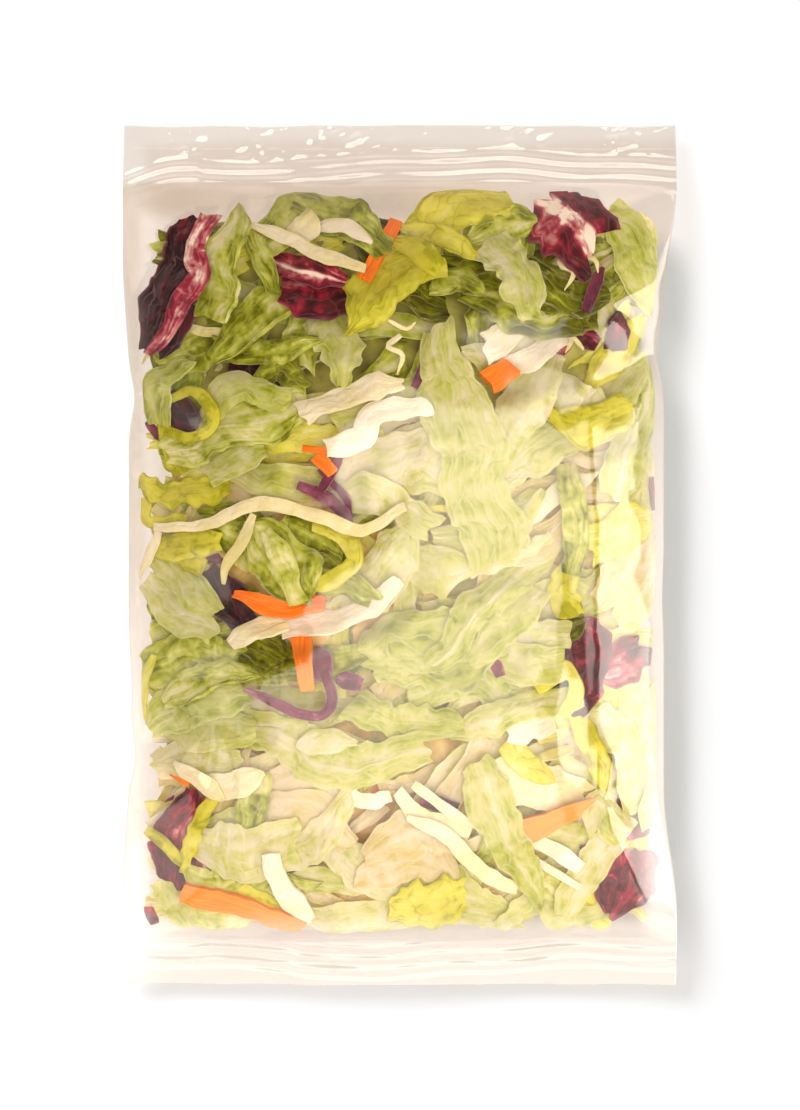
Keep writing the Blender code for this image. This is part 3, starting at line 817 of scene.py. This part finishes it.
heart(60, -108, 67, -118, width=12, tone=0.4, frill=1.0)
heart(-57, -108, -40, -113, width=8, tone=0.6)
green(-46, -74, -50, -90, width=10, tone=0.35)
carrot(-74, -70, -68, -74, width=2.4, tone=0.6, thick=1.2)
pale(-42, -80, -30, -76, -19, -87, width=19, tone=0.15, ends=(0.6, 0.6), crumple=0.6)
white(-21, -73, -12, -78, -3, -76, width=5.5, tone=0.05, frill=0.6)
white(24, -75, 40, -73, 60, -78, width=14, tone=0.3, ends=(0.5, 0.6), thick=1.0)
pale(-20, -95, -5, -104, 10, -104, width=15, tone=0.1)
pale(-34, -117, -14, -118, 5, -112, width=12, tone=0.15, ends=ROUND)
radicchio(-66, -76, -72, -90, -74, -106, width=18, tone=0.6, frill=0.8, crumple=0.9, ends=(0.5, 0.4))
pale(-77, -107, -70, -117, width=10, tone=0.4)
radicchio(-81, -114, -79, -120, width=3.5, tone=0.7)
pale(50, -90, 62, -94, width=14, tone=0.4)

# More pieces of the same mix lie under these and fill the gaps, mostly slanting the same way. For each kind:
# its share of the pieces where the mix is greenest and where it is palest, its widths and its lengths.
MIX = (
    ("pale_lettuce", 10, 22, (6, 12), (40, 80)),
    ("iceberg_shreds", 8, 30, (4, 9), (40, 80)),
    ("green_lettuce", 46, 7, (7, 14), (30, 60)),
    ("heart_lettuce", 10, 14, (6, 11), (28, 55)),
    ("white_shreds", 8, 18, (3, 7), (35, 65)),
    ("radicchio", 12, 4, (8, 14), (20, 40)),
    ("red_cabbage", 3, 2, (3, 5), (20, 35)),
    ("carrot_sticks", 3, 3, (4, 7), (28, 44)),
)


def lay_mix(side, count, slope_mean, step):
    """Lays pieces at random over the whole bag, moved in where they would pass the heap's uneven outline.
    Hardly any dark piece lies along the right side."""
    for _ in range(count):
        x, y = dice.uniform(-84, 84), dice.uniform(-120, 112)
        much = greenness(x, y)
        shares = [green * much + plain * (1 - much) for _, green, plain, *_ in MIX]
        kind, _, _, widths, lengths = dice.choices(MIX, shares)[0]
        if x > 45 and y < 75 and kind in ("radicchio", "red_cabbage", "green_lettuce"):
            kind = "pale_lettuce"
        turn, width = math.radians(dice.gauss(slope_mean, 35)), dice.uniform(*widths)
        run = dice.uniform(*lengths) / 2
        ahead_x, ahead_y = math.cos(turn), math.sin(turn)
        out_x = abs(ahead_x) * run + abs(ahead_y) * width / 2
        out_y = abs(ahead_y) * run + abs(ahead_x) * width / 2
        inset = dice.uniform(0, 5)
        x = min(max(x, -83 + inset + out_x), 83 - inset - out_x)
        y = min(max(y, -122 + inset + out_y), 110 - inset - out_y)
        sway = dice.uniform(-0.25, 0.25) * run
        # Where the mix is green these pieces, which lie under the others, take darker tones: partly darker leaves,
        # partly painted shade.
        tone = dice.uniform(0.1 + 0.45 * much, 0.45 + 0.55 * much) * (0.6 if kind == "heart_lettuce" else 1.0)
        path = (x - ahead_x * run, y - ahead_y * run, x - ahead_y * sway, y + ahead_x * sway,
                x + ahead_x * run, y + ahead_y * run)
        slim = kind in ("white_shreds", "carrot_sticks", "red_cabbage")
        lay(kind, path, width, tone=tone, side=side, step=step,
            crumple=0.3 if slim else dice.uniform(0.6, 1.2), frill=0 if slim else dice.choice((0, 0, 0.6, 1.2)),
            rib=0 if slim else dice.choice((0, 0.1, 0.16)), ends=dice.choice((BLUNT, ROUND, TIP, CUT)),
            thick={"white_shreds": 1.1, "carrot_sticks": 2.4, "red_cabbage": 0.9}.get(kind, 0.3))


lay_mix("top", 340, 25, 2.2)
lay_mix("bottom", 240, 25, 2.5)

GREEN_STOPS = ((0.0, "F2ECBC"), (0.2, "E2E088"), (0.42, "C6CA42"), (0.66, "929608"), (1.0, "5A5402"))
PALE_STOPS = ((0.0, "F4EED2"), (0.2, "ECE8B0"), (0.5, "DEDE80"), (0.8, "C6CC48"), (1.0, "A4AA1C"))
SHRED_STOPS = ((0.0, "F6ECD2"), (0.25, "EEE0B0"), (0.5, "E4D88E"), (0.8, "D6CE62"), (1.0, "B8B838"))
HEART_STOPS = ((0.0, "FAF6B4"), (0.2, "F6F284"), (0.5, "F2EC60"), (0.8, "E8E248"), (1.0, "CCC824"))
WHITE_STOPS = ((0.0, "F6ECD8"), (0.4, "EEE2B4"), (0.7, "E4D88C"), (1.0, "D2C464"))
RADICCHIO_STOPS = ((0.0, "EAD9C4"), (0.16, "C48480"), (0.38, "981C34"), (0.62, "540E16"), (1.0, "200404"))
CABBAGE_STOPS = ((0.0, "B48890"), (0.4, "7C3448"), (1.0, "48162A"))
CARROT_STOPS = ((0.2, "B84E04"), (0.5, "DE6A0C"), (0.85, "F58A26"))
LOOKS = {
    "green_lettuce": (leaf_material("green_lettuce_leaf", GREEN_STOPS, "DAD68E", glow=0.5), "green_leaf"),
    "pale_lettuce": (leaf_material("pale_iceberg_leaf", PALE_STOPS, "F6F2DA", pitch=4.2, blotch=0.6, grain=0.45), "pale_leaf"),
    "iceberg_shreds": (leaf_material("white_green_iceberg_shred", SHRED_STOPS, "FAF6E0", pitch=4.2, blotch=0.45,
                                     grain=0.6),
                       "pale_leaf"),
    "heart_lettuce": (leaf_material("yellow_heart_leaf", HEART_STOPS, "A09C38", pitch=3.2), "pale_leaf"),
    "white_shreds": (leaf_material("white_rib_and_cabbage", WHITE_STOPS, "FBF6EA", glow=0.35, vein=0.1,
                                   blotch=0.3), "white_rib"),
    "radicchio": (leaf_material("radicchio_leaf", RADICCHIO_STOPS, "A06068", glow=0.12, vein=0.25, blotch=0.55),
                  "radicchio"),
    "red_cabbage": (leaf_material("red_cabbage_sliver", CABBAGE_STOPS, "C9A2B4", glow=0.1, vein=0.05),
                    "red_cabbage"),
    "carrot_sticks": (carrot_material(), "carrot"),
    "curly_endive": (leaf_material("curly_endive_thread", WHITE_STOPS, "FBF6EA", glow=0.2, vein=0.05,
                                   blotch=0.1), "white_rib"),
}
SALAD = [join_kind(kind, material) for kind, (material, slot) in LOOKS.items()]


# ---------------------------------------------------------------------------------------------------------
# The core, the film, and the stage.


def filled_tube(name, columns, rows, heights, material):
    """A closed skin: a square of two sheets, joined all round, each point moved to its place by heights."""
    bpy.ops.mesh.primitive_grid_add(x_subdivisions=columns, y_subdivisions=rows, size=2)
    tube = bpy.context.object
    tube.name = tube.data.name = name
    gap = tube.modifiers.new("two_sheets", "SOLIDIFY")
    gap.thickness = 1.0
    gap.offset = 0.0
    bpy.ops.object.modifier_apply(modifier=gap.name)
    places = np.empty(len(tube.data.vertices) * 3)
    tube.data.vertices.foreach_get("co", places)
    places = places.reshape(-1, 3)
    places = heights(places[:, 0], places[:, 1], places[:, 2] > 0) * MM
    tube.data.vertices.foreach_set("co", places.ravel())
    tube.data.update()
    tube.data.materials.append(material)
    tube.data.shade_smooth()
    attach(tube, "root")
    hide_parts("salad_bag")
    return tube


def core_places(even_x, even_y, on_top):
    """The core keeps well inside the layers of leaves."""
    round_x, round_y = even_x * np.sqrt(1 - even_y**2 / 2), even_y * np.sqrt(1 - even_x**2 / 2)
    mix_x, mix_y = 0.5 * even_x + 0.5 * round_x, 0.5 * even_y + 0.5 * round_y
    y = mix_y * (HALF_LENGTH - BOTTOM_SEAL - 17) - 5
    x = mix_x * (reach_at(mix_x, y) - 15)
    belly, crest = sheets(x, y)
    inset = np.minimum(0.36 * (crest - belly), 11.0) + 1.2 * ripple(x, y, 7.0, 5)
    return np.column_stack([x, y, np.where(on_top, crest - inset, belly + inset)])


FINE_TOP, FINE_BODY, FINE_BOTTOM, FINE_ACROSS = 48, 164, 38, 140


def film_rows(row):
    """Y of each row of the film: fine rows in the seals, wider ones in the body."""
    low, high = -HALF_LENGTH + BOTTOM_SEAL, HALF_LENGTH - TOP_SEAL
    total = FINE_TOP + FINE_BODY + FINE_BOTTOM
    return np.interp(row, [0, FINE_BOTTOM, FINE_BOTTOM + FINE_BODY, total], [-HALF_LENGTH, low, high, HALF_LENGTH])


def crimp(x, y):
    """Ribs of the end seals, with slow bows, kinks where the jaws caught a tuck, and a crumpled lip."""
    seal, lip = np.where(y < 0, BOTTOM_SEAL, TOP_SEAL), np.where(y < 0, BOTTOM_LIP, TOP_LIP)
    bow = RIB_BOW * np.sin(x * 2 * math.pi / 150 + np.where(y > 0, 0.4, 1.9))
    kinks = 0.9 * smooth_step((x + 36) / 3) - 0.7 * smooth_step((x + 66) / 2) + 0.8 * ripple(x, y * 0, 26.0, 3)
    kinks -= 9.0 * bell(x + 98, 17) * (y > 0)
    from_lip = HALF_LENGTH - abs(y) - lip + bow + kinks
    strength = smooth_step(from_lip / RIB_PITCH) * smooth_step((seal - lip - from_lip) / RIB_PITCH + 1)
    uneven = 0.75 + 0.45 * ripple(x, y * 3, 13.0, 8)
    ribs = RIB_DEPTH * strength * uneven * np.sin(from_lip * 2 * math.pi / RIB_PITCH)
    on_lip = smooth_step(1 - from_lip / 3) * smooth_step((HALF_LENGTH - y) / 1.5) * (y > 0)
    patches = 0.3 + sum(bell(x - at, reach) for at, reach in ((-70, 5), (-46, 5), (-16, 17), (40, 8), (72, 7)))
    return ribs + 0.75 * on_lip * patches * (ripple(1.2 * x, 0.6 * y, 2.8, 9) + 0.5 * ripple(x, 0.8 * y, 1.6, 10))


def film_places(even_x, even_y, on_top):
    total = FINE_TOP + FINE_BODY + FINE_BOTTOM
    y = film_rows(np.round((even_y + 1) / 2 * total))
    across = 0.62 * even_x + 0.38 * np.sin(even_x * math.pi / 2)
    x = across * reach_at(across, y)
    belly, crest = sheets(x, y)
    parted = np.minimum(opening(x, y) * 3, 1.0)
    crest = np.maximum(crest + (creases(x, y) + puckered(x, y)) * parted, belly + SHEET_GAP)
    slack = 0.05 * ripple(x, y, 6.0, 31) + 0.02 * ripple(x, y, 3.1, 32)
    crest = crest + slack * parted
    z = np.where(on_top, crest, belly) + crimp(x, y)
    end_wave = 0.35 * ripple(x, x * 0, 17.0, 41) * smooth_step((abs(y) - HALF_LENGTH + 8) / 8)
    return np.column_stack([x, y - np.sign(y) * (0.35 + end_wave) * (abs(y) > HALF_LENGTH - 8), np.maximum(z, 0.0)])


SALAD.append(filled_tube("shaded_core", 40, 60, core_places, core_material()))
film = filled_tube("film", FINE_ACROSS, FINE_TOP + FINE_BODY + FINE_BOTTOM, film_places, clear_film())
places = np.empty(len(film.data.vertices) * 3)
film.data.vertices.foreach_get("co", places)
film_x, film_y = places.reshape(-1, 3).T[:2] / MM
beside = smooth_step((abs(film_x + 2) - 78) / 7) * smooth_step((film_y + 126) / 14) * smooth_step((120 - film_y) / 9)
low_down = smooth_step((40 + 60 * (film_x > 0) - film_y) / 110)
milky = 0.12 * smooth_step((-114 - film_y) / 8) + (0.03 + 0.19 * low_down) * beside
# Painted shade on the film: the tint darkens along the top end, most to the left, and down the upper left side.
shade_along_top = smooth_step((film_y - 106) / 8) * smooth_step((123 - film_y) / 4) * smooth_step((75 - film_x) / 90)
painted_shade = np.maximum(shade_along_top, beside * (film_x < 0) * smooth_step((film_y + 50) / 50) * smooth_step((123 - film_y) / 4))
film.data.attributes.new("milky", "FLOAT", "POINT").data.foreach_set("value", milky)
film.data.attributes.new("painted_shade", "FLOAT", "POINT").data.foreach_set("value", painted_shade)


def floor():
    """A plain pale floor, just under the bag."""
    bpy.ops.mesh.primitive_plane_add(size=6.0, location=(0, 0, -0.0004))
    ground = bpy.context.object
    ground.name = ground.data.name = "floor"
    material, tree = new_material("matt_white_card")
    card = add(tree, "ShaderNodeBsdfPrincipled", {"Base Color": colour("D5D5D5"), "Roughness": 0.9,
                                                   "Specular IOR Level": 0.1})
    add(tree, "ShaderNodeOutputMaterial", {"Surface": card.outputs[0]})
    ground.data.materials.append(material)
    return ground


def softbox(name, place, aim, size, power, lit, mirrored=True, shadow=True):
    """A rectangular softbox at a place, turned to face its aim, that lights only the objects in lit. mirrored
    says whether glossy skins mirror it, and shadow whether things cast shadows in its light."""
    light = bpy.data.lights.new(name, "AREA")
    light.shape = "RECTANGLE"
    light.size, light.size_y = size
    light.energy = power
    light.use_shadow = shadow
    holder = bpy.data.objects.new(name, light)
    bpy.context.scene.collection.objects.link(holder)
    holder.location = place
    holder.rotation_euler = (Vector(aim) - Vector(place)).to_track_quat("-Z", "Y").to_euler()
    holder.visible_glossy = mirrored
    holder.light_linking.receiver_collection = bpy.data.collections.new(f"{name}_lights")
    for thing in lit:
        holder.light_linking.receiver_collection.objects.link(thing)


FLOOR, BAG = [floor()], [*SALAD, film]
# The floor's own two softboxes: one casts the bag's soft shadow, and the other keeps that shadow pale.
softbox("floor_softbox", (-2.4, 2.4, 3.0), (0, 0, 0), (2.0, 2.0), 240, FLOOR, mirrored=False)
softbox("floor_fill_softbox", (0, 0, 3.2), (0, 0, 0), (2.0, 2.0), 83, FLOOR, mirrored=False, shadow=False)
# These light the salad, and the film doesn't mirror them.
softbox("top_softbox", (0.1, -0.2, 1.6), (0, 0, 0), (1.4, 1.4), 21, BAG, mirrored=False)
softbox("key_softbox", (0.5, -1.1, 1.2), (0, 0, 0), (1.2, 1.2), 16, BAG, mirrored=False)
softbox("fill_softbox", (-1.0, 0.7, 1.3), (0, 0, 0), (1.2, 1.2), 8.5, BAG, mirrored=False)
# These are mirrored in the film as the pale veils over the middle, the right and the lower end.
softbox("overhead_softbox", (0.565, 0.04, 1.5), (0.565, 0.04, 0.0), (1.37, 0.52), 5.6, BAG)
softbox("upper_softbox", (0.62, 0.43, 1.5), (0.62, 0.43, 0.0), (1.26, 0.26), 2.5, BAG)
softbox("front_softbox", (0.11, -0.81, 1.5), (0.11, -0.81, 0.0), (2.38, 1.18), 15.5, BAG)
softbox("low_front_softbox", (0.3, -1.85, 0.95), (0, 0, 0), (2.4, 1.5), 8, BAG)
softbox("left_softbox", (-1.15, -0.70, 0.75), (0, 0, 0), (1.2, 0.8), 4.0, BAG)
softbox("right_softbox", (1.45, -0.62, 0.62), (0, -0.62, 0), (1.74, 0.9), 23, BAG)

world = bpy.data.worlds.new("studio")
bpy.context.scene.world = world
world.use_nodes = True
# White walls all round, and a dark ceiling that the film can mirror without a veil.
world.node_tree.nodes.clear()
direction = add(world.node_tree, "ShaderNodeTexCoord").outputs["Generated"]
rise = add(world.node_tree, "ShaderNodeSeparateXYZ", {0: direction}).outputs[2]
walls = add(world.node_tree, "ShaderNodeMapRange", {0: rise, 1: 0.15, 2: 0.6, 3: 0.6, 4: 0.04}).outputs[0]
room = add(world.node_tree, "ShaderNodeBackground", {"Color": colour("FFFFFF"), "Strength": walls}).outputs[0]
add(world.node_tree, "ShaderNodeOutputWorld", {"Surface": room})

# The camera looks straight down, and its frame is taller than the bag by the same margin at both ends.
FRAME_HEIGHT = 1.2818 * LENGTH * MM
camera_data = bpy.data.cameras.new("camera")
camera_data.lens = 110.0
camera_data.sensor_width = 36.0
camera = bpy.data.objects.new("camera", camera_data)
bpy.context.scene.collection.objects.link(camera)
camera.location = (0.0, 0.0, FOLD_HEIGHT * MM + FRAME_HEIGHT * camera_data.lens / camera_data.sensor_width)
bpy.context.scene.camera = camera
bpy.context.scene.view_settings.view_transform = "Standard"
